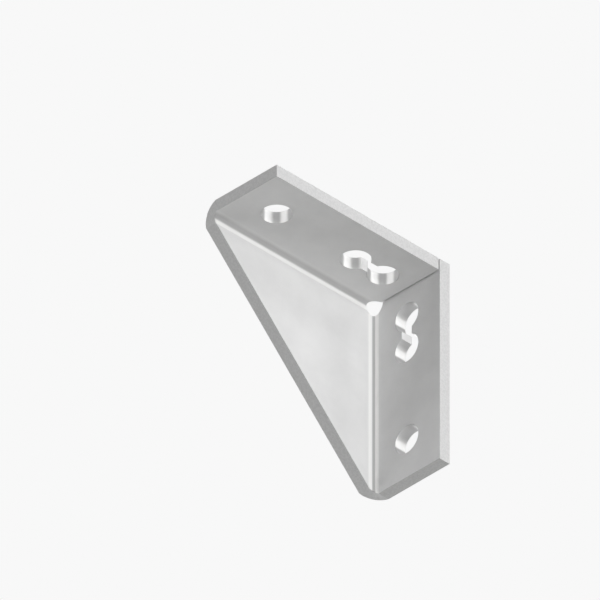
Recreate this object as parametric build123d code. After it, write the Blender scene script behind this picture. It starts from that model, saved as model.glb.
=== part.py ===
from build123d import *
from math import pi
import os

# Right-angle strut fitting, folded from one flat plate. Millimetres, +Z up.
# The origin is the heel: X = 0 is the bearing face of the upright flange, Z = 0 the bearing face
# of the upper flange, and Y = 0 the plane through the middle of every bolt hole.

# Plate
plate = 6.0
bend_inside = 3.0
bend_neutral = 0.4              # depth of the unstretched layer in a bend, as a share of the plate

# Flanges
leg = 105.0                     # heel to the end of each flange
web_side = 20.0                 # hole line to the inner face of the web
free_side = 20.0                # hole line to the free edge
seam = 0.7                      # gap where the two flanges meet edge to edge

# Bolt holes, placed by their distance from the heel
hole = 14.0
near_hole = 20.5
mid_hole = 37.0
far_hole = 85.0
neck = 6.0                      # slot that joins the near and middle holes

# Sloping edge of the web: where it reaches the bend, short of the flange end
slope_setback = 3.1

# Relief hole in the corner, round in the flat plate and centred where the bend lines cross
relief = 13.6

bend_outside = bend_inside + plate
bend_half = (bend_inside + bend_neutral * plate) * pi / 4
bend_start = web_side - bend_inside
web_outer = web_side + plate

# Looking along the upper flange from its end: local X towards the web, local Y upwards
flange_end = Plane(origin=(-leg, 0, 0), x_dir=(0, 1, 0), z_dir=(1, 0, 0))
# The two flanges are mirror images in this plane through the heel
diagonal = Plane(origin=(0, 0, 0), z_dir=(1, 0, -1))


def bolt_holes():
    """Far hole, and the near and middle holes joined by a neck; local X runs from the heel."""
    joined = Circle(hole / 2) + Pos(mid_hole - near_hole, 0) * Circle(hole / 2)
    joined += Rectangle(mid_hole - near_hole, neck, align=(Align.MIN, Align.CENTER))
    return Pos(near_hole, 0) * joined + Pos(far_hole, 0) * Circle(hole / 2)


def bend_waste():
    """Waste past the bend's slanting end, which runs from the sloping edge to the flange end."""
    past = plate
    steps = 6
    sections = []
    for step in range(steps + 1):
        turn = 90 * step / steps
        radial = Vector(0, 1, 0).rotate(Axis.X, turn)
        along = Vector(-1, 0, 0)
        end = leg - slope_setback * (1 - step / steps)
        place = Plane(origin=(-end, bend_start, -bend_outside), x_dir=radial, z_dir=radial.cross(along))
        strip = Rectangle(bend_outside + past, slope_setback + past, align=(Align.MIN, Align.MIN))
        sections.append(place * Pos(bend_inside / 2, 0) * strip)
    return loft(sections)


def flange(heel_gap):
    """Upper flange from its end to heel_gap short of the heel, with its holes and its bend."""
    flat = Rectangle(free_side + bend_start, plate, align=(Align.MAX, Align.MAX))
    ring = Circle(bend_outside) - Circle(bend_inside)
    bend = ring & Rectangle(bend_outside, bend_outside, align=(Align.MIN, Align.MIN))
    blade = extrude(flange_end * Pos(bend_start, 0) * flat, leg - heel_gap)
    fold = extrude(flange_end * Pos(bend_start, -bend_outside) * bend, leg - bend_outside)
    inward = Plane(origin=(0, 0, 0), x_dir=(-1, 0, 0), z_dir=(0, 0, -1))
    return blade + (fold - bend_waste()) - extrude(inward * bolt_holes(), plate)


def web():
    """Triangular web between the two bends."""
    reach = leg - slope_setback
    outline = Polyline((-bend_outside, -bend_outside), (-reach, -bend_outside),
                       (-bend_outside, -reach), close=True)
    outside = Plane(origin=(0, web_outer, 0), x_dir=(1, 0, 0), z_dir=(0, -1, 0))
    return extrude(outside * make_face(outline), plate)


def relief_cut():
    """Round relief hole as it lies after folding: a drill through each plate, mitred in the bends."""
    crossing = Vector(-bend_outside, bend_start, -bend_outside)
    entry = crossing + Vector(bend_half, 0, bend_half)
    drill = extrude(Plane(origin=entry, z_dir=(0, 1, 0)) * Circle(relief / 2), 2 * bend_outside)
    for across in ((-1, 1, 0), (0, 1, -1)):
        drill = split(drill, Plane(origin=crossing, z_dir=across), keep=Keep.TOP)
    corner_line = Axis(crossing, (1, 1, 1))
    return drill + drill.rotate(corner_line, 120) + drill.rotate(corner_line, 240)


upper = flange(plate + seam)
upright = mirror(flange(0), about=diagonal)
fitting = upper + upright + web() - relief_cut()

os.makedirs("parts", exist_ok=True)
export_step(fitting, "parts/angle_fitting.step")
print("angle_fitting", round(fitting.volume), "mm3,", len(fitting.solids()), "solid")
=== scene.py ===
from math import pi

import bpy
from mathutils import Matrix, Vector


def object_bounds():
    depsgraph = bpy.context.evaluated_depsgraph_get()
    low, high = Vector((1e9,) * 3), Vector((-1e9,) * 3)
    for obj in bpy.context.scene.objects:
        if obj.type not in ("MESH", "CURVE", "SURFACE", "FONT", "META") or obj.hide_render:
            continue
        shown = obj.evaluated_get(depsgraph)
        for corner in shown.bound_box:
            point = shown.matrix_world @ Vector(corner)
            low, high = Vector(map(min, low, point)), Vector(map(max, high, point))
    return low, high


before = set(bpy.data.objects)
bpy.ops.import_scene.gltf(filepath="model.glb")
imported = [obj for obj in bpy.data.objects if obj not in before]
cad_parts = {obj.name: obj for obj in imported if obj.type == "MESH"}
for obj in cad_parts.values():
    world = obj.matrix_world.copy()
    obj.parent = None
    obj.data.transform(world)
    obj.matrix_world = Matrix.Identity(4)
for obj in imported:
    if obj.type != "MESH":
        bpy.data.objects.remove(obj)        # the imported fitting: one node on one body
cadLow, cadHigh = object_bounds()
print("frame loaded")

mm = 0.001

# The plate that the finish follows, measured from the heel and the bolt holes' plane
plate = {
    "thickness": 6.0,                 # mm, as every size here
    "webInner": 20.0,
    "bendInside": 3.0,
    "holeRadius": 7.0,
    "holes": (20.5, 37.0, 85.0),      # from the heel; a neck joins the first two
    "neck": 6.0,
    "leg": 105.0,
    "freeSide": 20.0,
    "slopeSum": 110.9,                # -x - z along the sloping edge of the web
}
# The axis of either bend: its x for the upright bend or z for the upper one, and then its y
bendAxis = (-plate["thickness"] - plate["bendInside"], plate["webInner"] - plate["bendInside"])


def linearColour(hexText):
    # The sRGB curve: a straight foot, then a power
    channels = [int(hexText[i:i + 2], 16) / 255 for i in (1, 3, 5)]
    return [c / 12.92 if c <= 0.04045 else ((c + 0.055) / 1.055) ** 2.4 for c in channels] + [1.0]


def addNode(tree, kind, links=None, **settings):
    # links gives inputs, by name or number, an output socket or a plain value; settings are the
    # node's own fields
    node = tree.nodes.new(kind)
    for field, value in settings.items():
        setattr(node, field, value)
    for name, source in (links or {}).items():
        if isinstance(source, bpy.types.NodeSocket):
            tree.links.new(source, node.inputs[name])
        else:
            node.inputs[name].default_value = source
    return node


def emptyMaterial(name):
    material = bpy.data.materials.new(name)
    material.use_nodes = True
    material.node_tree.nodes.clear()
    return material


# Electroplated zinc on cold rolled plate, dulled by its passivation: an even, light, neutral grey
# with a satin sheen, faintly clouded. The punch has burnished the walls of the holes, where more of
# the bare metal shows.
zinc = {
    "hex": "#e8e8e8",
    "patchHex": "#e3e3e3",
    "patchSize": 16.0,                # mm across one cloud
    "patchDetail": 4.0,
    "patchRoughness": 0.6,
    "patchRange": (0.35, 0.65),       # of the noise, from no cloud to a full one
    "metallic": 0.18,                 # the dull film scatters light, with bare metal under it
    "roughness": 0.66,
    "roughSpread": 0.03,              # added in the clouds, and taken off between them
    "burnishedMetallic": 0.40,
    "burnishedRoughness": 0.30,
    "grainSize": 1.1,                 # mm; the real grain is nearer 0.2 mm and would not show
    "grainHeight": 0.035,             # mm
    "edgeRadius": 0.3,                # mm, where the plating rounds the plate's edges
    "edgeSamples": 6,
}

# Sheared faces are torn a little, which leaves them speckled and darker than the rolled ones
cutFaces = {
    "hex": "#d4d4d4",
    "patchHex": "#dcdcdc",
    "patchSize": 0.9,                 # mm; real tearing marks are finer and would not show
    "patchDetail": 2.0,
    "patchRoughness": 0.5,
    "patchRange": (0.4, 0.6),
    "roughness": 0.65,
    "clearance": 0.1,                 # mm that the finish reaches past such a face
}

# Painted highlights and painted shade on the curved faces: bright bands painted where a highlight
# falls and dull bands beside them, on the bends and the walls of the holes. Each stop is a place
# round such a
# face and its colour: at -1 the face points as the web does, at 1 as the flange that its axis runs
# along does, and past 1 it turns on beyond that.
paintedLightMarks = {
    "uprightBend": ((-1.20, "#e8e8e8"), (-0.95, "#f7f7f6"), (-0.50, "#f7f7f6"), (-0.16, "#c0c0c0"),
                    (0.10, "#c0c0c0"), (0.42, "#fdfdfc"), (0.88, "#fdfdfc"), (1.12, "#e8e8e8")),
    "upperBend": ((-1.20, "#e8e8e8"), (-0.95, "#fdfdfc"), (-0.55, "#fdfdfc"), (-0.12, "#c3c3c3"),
                  (0.40, "#c9c9c9"), (1.25, "#e8e8e8")),
    "upperHoles": ((-1.20, "#c2c2c2"), (-0.98, "#f4f4f3"), (-0.50, "#f4f4f3"), (-0.20, "#d0d0d0"),
                   (0.15, "#d0d0d0"), (0.46, "#f4f4f3"), (0.86, "#f4f4f3"), (1.08, "#d0d0d0")),
    "uprightHoles": ((-1.15, "#bababa"), (-0.98, "#f4f4f3"), (-0.48, "#f4f4f3"), (0.06, "#dadada"),
                     (0.70, "#dcdcdc"), (1.20, "#d2d2d2")),
    "neckHex": "#e2e2e2",
    "span": 1.5,                      # the stops lie between minus this and this
    "bendFade": 0.40,                 # mm past the bend over which its marks fade out
    "wallFade": 0.05,                 # mm past the wall of a hole
    "clearance": 0.05,                # mm that a mark reaches past its face before it fades
}


def patchyColour(tree, place, finish):
    # Soft patches of a finish's second colour on its first. Gives the colour, and 0 to 1 for how
    # far each place is in a patch.
    noise = addNode(tree, "ShaderNodeTexNoise", {
        "Vector": place, "Scale": 1 / (finish["patchSize"] * mm),
        "Detail": finish["patchDetail"], "Roughness": finish["patchRoughness"]})
    low, high = finish["patchRange"]
    patch = addNode(tree, "ShaderNodeMapRange", {
        "Value": noise.outputs["Fac"], "From Min": low, "From Max": high}).outputs["Result"]
    mixed = addNode(tree, "ShaderNodeMix", {
        "Factor": patch, "A": linearColour(finish["hex"]), "B": linearColour(finish["patchHex"])},
        data_type="RGBA")
    return mixed.outputs["Result"], patch


def cutPlaces(tree, x, y, z):
    # 1 on the free edges, the slope of the web and the ends of the flanges and bends
    clearance = cutFaces["clearance"]
    slope = addNode(tree, "ShaderNodeMath", {0: x, 1: z}, operation="ADD").outputs["Value"]
    limits = [(y, clearance - plate["freeSide"]), (slope, clearance - plate["slopeSum"])]
    for along, away in ((x, z), (z, x)):
        # Round the bend, the end leans over from the slope to the end of the flange
        rise = addNode(tree, "ShaderNodeMath", {0: away, 1: bendAxis[0]}, operation="SUBTRACT")
        reach = addNode(tree, "ShaderNodeMath", {0: y, 1: bendAxis[1]}, operation="SUBTRACT")
        turned = addNode(tree, "ShaderNodeMath", {
            0: rise.outputs["Value"], 1: reach.outputs["Value"]}, operation="ARCTAN2")
        end = addNode(tree, "ShaderNodeMapRange", {
            "Value": turned.outputs["Value"], "From Min": 0.0, "From Max": pi / 2,
            "To Min": clearance - plate["slopeSum"] - bendAxis[0],
            "To Max": clearance - plate["leg"]})
        limits.append((along, end.outputs["Result"]))
    cut = 0.0
    for value, limit in limits:
        past = addNode(tree, "ShaderNodeMath", {0: value, 1: limit}, operation="LESS_THAN")
        cut = addNode(tree, "ShaderNodeMath", {
            0: past.outputs["Value"], 1: cut}, operation="MAXIMUM").outputs["Value"]
    return cut


def neckWalls(tree, away, y):
    # 1 on the flat walls of the neck between the near and middle holes
    near, middle = plate["holes"][:2]
    along = addNode(tree, "ShaderNodeMath", {
        0: away, 1: -(near + middle) / 2, 2: (middle - near) / 2}, operation="COMPARE")
    across = addNode(tree, "ShaderNodeMath", {
        0: y, 1: 0.0, 2: plate["neck"] / 2 + paintedLightMarks["clearance"]}, operation="COMPARE")
    both = addNode(tree, "ShaderNodeMath", {
        0: along.outputs["Value"], 1: across.outputs["Value"]}, operation="MULTIPLY")
    return both.outputs["Value"]


def paintLightBands(tree, colour, away, y, centre, radius, fadeWidth, stops, extent=1.0):
    # Paints bands of painted highlight and painted shade on one hollow face round the axis at
    # centre.
    # extent is 1 along the part of that axis that the face follows. Gives the new colour, and 1
    # where the face lies.
    seenFromEnd = addNode(tree, "ShaderNodeCombineXYZ", {"X": away, "Y": y})
    reach = addNode(tree, "ShaderNodeVectorMath", {
        0: seenFromEnd.outputs["Vector"], 1: (*centre, 0.0)}, operation="DISTANCE")
    edge = radius + paintedLightMarks["clearance"]
    inside = addNode(tree, "ShaderNodeMapRange", {
        "Value": reach.outputs["Value"], "From Min": edge, "From Max": edge + fadeWidth,
        "To Min": extent, "To Max": 0.0}, interpolation_type="SMOOTHSTEP").outputs["Result"]
    span = paintedLightMarks["span"]
    turned = addNode(tree, "ShaderNodeMath", {0: away, 1: y}, operation="SUBTRACT")
    across = addNode(tree, "ShaderNodeMapRange", {
        "Value": turned.outputs["Value"],
        "From Min": centre[0] - centre[1] - span * radius,
        "From Max": centre[0] - centre[1] + span * radius})
    ramp = addNode(tree, "ShaderNodeValToRGB", {"Fac": across.outputs["Result"]})
    ramp.color_ramp.interpolation = "EASE"
    places = ramp.color_ramp.elements
    for place, hexText in stops:
        places.new((place + span) / (2 * span)).color = linearColour(hexText)
    places.remove(places[-1])         # the white and the black that a new ramp comes with
    places.remove(places[0])
    painted = addNode(tree, "ShaderNodeMix", {
        "Factor": inside, "A": colour, "B": ramp.outputs["Color"]}, data_type="RGBA")
    return painted.outputs["Result"], inside


def paintedLightPlaces(tree, colour, x, y, z):
    # Paints bands of painted highlight and painted shade on the bends and the walls of the holes.
    # Gives the new colour, and 1 on those walls.
    burnished = 0.0
    for away, along, bend, holes in (
            (x, z, "uprightBend", "upperHoles"), (z, x, "upperBend", "uprightHoles")):
        # A bend stops at the relief hole, short of the other flange
        clear = addNode(tree, "ShaderNodeMath", {0: along, 1: bendAxis[0]}, operation="LESS_THAN")
        colour = paintLightBands(
            tree, colour, away, y, bendAxis, plate["bendInside"], paintedLightMarks["bendFade"],
            paintedLightMarks[bend], clear.outputs["Value"])[0]
        neck = neckWalls(tree, away, y)
        colour = addNode(tree, "ShaderNodeMix", {
            "Factor": neck, "A": colour, "B": linearColour(paintedLightMarks["neckHex"])},
            data_type="RGBA").outputs["Result"]
        walls = [neck]
        for hole in plate["holes"]:
            colour, wall = paintLightBands(
                tree, colour, away, y, (-hole, 0.0), plate["holeRadius"], paintedLightMarks["wallFade"],
                paintedLightMarks[holes])
            walls.append(wall)
        for wall in walls:
            burnished = addNode(tree, "ShaderNodeMath", {
                0: burnished, 1: wall}, operation="MAXIMUM").outputs["Value"]
    return colour, burnished


def zincMaterial():
    material = emptyMaterial("satinZincPlate")
    tree = material.node_tree
    place = addNode(tree, "ShaderNodeTexCoord").outputs["Object"]
    inMm = addNode(tree, "ShaderNodeVectorMath", {0: place, "Scale": 1 / mm}, operation="SCALE")
    x, y, z = addNode(tree, "ShaderNodeSeparateXYZ", {"Vector": inMm.outputs["Vector"]}).outputs

    rolled, clouds = patchyColour(tree, place, zinc)
    torn = patchyColour(tree, place, cutFaces)[0]
    cut = cutPlaces(tree, x, y, z)
    colour = addNode(tree, "ShaderNodeMix", {
        "Factor": cut, "A": rolled, "B": torn}, data_type="RGBA").outputs["Result"]
    # painted highlights and painted shade in bands on the bends and the walls of the holes
    colour, burnished = paintedLightPlaces(tree, colour, x, y, z)

    dulled = addNode(tree, "ShaderNodeMapRange", {
        "Value": clouds,
        "To Min": zinc["roughness"] - zinc["roughSpread"],
        "To Max": zinc["roughness"] + zinc["roughSpread"]}).outputs["Result"]
    rough = addNode(tree, "ShaderNodeMix", {
        "Factor": cut, "A": dulled, "B": cutFaces["roughness"]}).outputs["Result"]
    rough = addNode(tree, "ShaderNodeMix", {
        "Factor": burnished, "A": rough, "B": zinc["burnishedRoughness"]}).outputs["Result"]
    metal = addNode(tree, "ShaderNodeMix", {
        "Factor": burnished, "A": zinc["metallic"],
        "B": zinc["burnishedMetallic"]}).outputs["Result"]

    grain = addNode(tree, "ShaderNodeTexNoise", {
        "Vector": place, "Scale": 1 / (zinc["grainSize"] * mm)})
    rounded = addNode(tree, "ShaderNodeBevel", {
        "Radius": zinc["edgeRadius"] * mm}, samples=zinc["edgeSamples"])
    bump = addNode(tree, "ShaderNodeBump", {
        "Height": grain.outputs["Fac"], "Distance": zinc["grainHeight"] * mm,
        "Normal": rounded.outputs["Normal"]})
    shader = addNode(tree, "ShaderNodeBsdfPrincipled", {
        "Base Color": colour, "Roughness": rough, "Metallic": metal,
        "Normal": bump.outputs["Normal"]})
    addNode(tree, "ShaderNodeOutputMaterial", {"Surface": shader.outputs["BSDF"]})
    return material


def dressFitting():
    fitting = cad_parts["angle_fitting"]
    fitting.data.materials.clear()
    fitting.data.materials.append(zincMaterial())
    print("fitting dressed in zinc")


studio = {
    "backdropHex": "#f8f8f8",         # what the camera and every reflection see all round
    "roomHex": "#ffffff",             # soft light from all round
    "roomLight": 0.08,                # its strength, where 1 is full white
    "floorHex": "#d2d2d0",
    "floorRoughness": 0.9,
    "floorGlow": 0.8,                 # share of the backdrop's white that shows on the floor
    "floorDrop": 1.0,                 # metres from the heel down to the floor
    "floorSide": 8.0,                 # metres
}


def seenRays(tree):
    # 1 for what the camera sees, also by reflection or through glass, and 0 for light on its way
    # to a surface
    rays = addNode(tree, "ShaderNodeLightPath").outputs
    seen = rays["Is Camera Ray"]
    for ray in ("Is Glossy Ray", "Is Transmission Ray"):
        seen = addNode(tree, "ShaderNodeMath", {
            0: seen, 1: rays[ray]}, operation="MAXIMUM").outputs["Value"]
    return seen


def addFloor():
    # Matt paper, far enough below that a view from below is not stopped by it
    half = studio["floorSide"] / 2
    height = cadHigh.z - studio["floorDrop"]
    corners = ((-half, -half), (half, -half), (half, half), (-half, half))
    mesh = bpy.data.meshes.new("studioFloor")
    mesh.from_pydata([(x, y, height) for x, y in corners], [], [(0, 1, 2, 3)])
    floor = bpy.data.objects.new("studioFloor", mesh)
    bpy.context.scene.collection.objects.link(floor)
    material = emptyMaterial("palePaper")
    tree = material.node_tree
    paper = addNode(tree, "ShaderNodeBsdfPrincipled", {
        "Base Color": linearColour(studio["floorHex"]), "Roughness": studio["floorRoughness"]})
    white = addNode(tree, "ShaderNodeEmission", {
        "Color": linearColour(studio["backdropHex"]), "Strength": 1.0})
    glow = addNode(tree, "ShaderNodeMath", {
        0: seenRays(tree), 1: studio["floorGlow"]}, operation="MULTIPLY")
    mixed = addNode(tree, "ShaderNodeMixShader", {
        0: glow.outputs["Value"], 1: paper.outputs["BSDF"], 2: white.outputs["Emission"]})
    addNode(tree, "ShaderNodeOutputMaterial", {"Surface": mixed.outputs["Shader"]})
    mesh.materials.append(material)
    print("floor laid")


def addWorld():
    # The backdrop is pale where it is seen or mirrored, and lights the fitting at a lower level
    world = bpy.data.worlds.new("paleStudio")
    world.use_nodes = True
    tree = world.node_tree
    tree.nodes.clear()
    light = addNode(tree, "ShaderNodeBackground", {
        "Color": linearColour(studio["roomHex"]), "Strength": studio["roomLight"]})
    backdrop = addNode(tree, "ShaderNodeBackground", {
        "Color": linearColour(studio["backdropHex"]), "Strength": 1.0})
    either = addNode(tree, "ShaderNodeMixShader", {
        0: seenRays(tree), 1: light.outputs["Background"], 2: backdrop.outputs["Background"]})
    addNode(tree, "ShaderNodeOutputWorld", {"Surface": either.outputs["Shader"]})
    bpy.context.scene.world = world
    print("world set")


# Softboxes: where each stands as seen from the fitting, its distance and its sides in metres, and
# its brightness, where 1 is as bright as white paper. The front one lights the web, the two end ones
# the sloping edge and the ends of the flanges, the next three shine in the walls of the holes, and
# the last two light the bearing faces and the back of the web.
softboxes = {
    "frontBox": {"towards": (-0.11, -1.00, -0.03), "away": 1.4, "sides": (0.8, 0.6), "bright": 6.7},
    "farEndBox": {"towards": (-0.75, 0.80, 0.10), "away": 0.8, "sides": (0.6, 0.6), "bright": 0.76},
    "lowEndBox": {"towards": (0.10, 0.80, -0.75), "away": 0.8, "sides": (0.6, 0.6), "bright": 0.76},
    "highBox": {"towards": (0.27, -0.77, 0.58), "away": 1.4, "sides": (1.1, 0.3), "bright": 1.15},
    "rightBox": {"towards": (0.58, -0.77, 0.27), "away": 1.4, "sides": (0.3, 1.1), "bright": 1.15},
    "leftBox": {"towards": (-0.81, 0.13, 0.58), "away": 1.4, "sides": (1.0, 0.3), "bright": 1.05},
    "topBox": {"towards": (0.25, 0.20, 1.00), "away": 0.7, "sides": (0.5, 0.5), "bright": 2.1},
    "backBox": {"towards": (0.60, 0.90, 0.20), "away": 1.4, "sides": (0.9, 0.9), "bright": 1.25},
}
wattsPerSquareMetre = 4.0             # at which a lamp's face looks as bright as white paper


def addSoftboxes(middle):
    for name, box in softboxes.items():
        width, height = box["sides"]
        lamp = bpy.data.lights.new(name, "AREA")
        lamp.shape = "RECTANGLE"
        lamp.size, lamp.size_y = width, height
        lamp.energy = box["bright"] * wattsPerSquareMetre * width * height
        holder = bpy.data.objects.new(name, lamp)
        towards = Vector(box["towards"]).normalized()
        holder.location = middle + towards * box["away"]
        holder.rotation_mode = "QUATERNION"
        holder.rotation_quaternion = towards.to_track_quat("Z", "Y")
        bpy.context.scene.collection.objects.link(holder)
    print("softboxes placed:", len(softboxes))


# How the fitting stands in the picture, seen from under its left front corner
cameraView = {
    "pictureSide": 600,               # pixels, width and height
    "pixelsPerMm": 2.328,             # the same everywhere, because the view is parallel
    "innerCorner": (373.85, 308.1),   # pixel where the three inner faces would meet
    "distance": 0.45,                 # metres from the inner corner
    "clip": (0.01, 20.0),             # metres, the nearest and the farthest that it sees
}


def addCamera():
    # A parallel view along the cube diagonal, from below
    ahead = Vector((1, 1, 1)).normalized()
    right = Vector((1, -1, 0)).normalized()
    up = right.cross(ahead)
    innerCorner = Vector((-plate["thickness"], plate["webInner"], -plate["thickness"])) * mm
    side = cameraView["pictureSide"]
    perPixel = mm / cameraView["pixelsPerMm"]
    across = (side / 2 - cameraView["innerCorner"][0]) * perPixel
    upwards = (cameraView["innerCorner"][1] - side / 2) * perPixel
    data = bpy.data.cameras.new("photoCamera")
    data.type = "ORTHO"
    data.ortho_scale = side * perPixel
    data.clip_start, data.clip_end = cameraView["clip"]
    camera = bpy.data.objects.new("photoCamera", data)
    camera.location = innerCorner + right * across + up * upwards - ahead * cameraView["distance"]
    camera.rotation_mode = "QUATERNION"
    camera.rotation_quaternion = ahead.to_track_quat("-Z", "Y")
    bpy.context.scene.collection.objects.link(camera)
    bpy.context.scene.camera = camera
    print("camera placed")


bpy.context.scene.view_settings.view_transform = "Standard"
dressFitting()
addFloor()
addWorld()
addSoftboxes((cadLow + cadHigh) / 2)
addCamera()
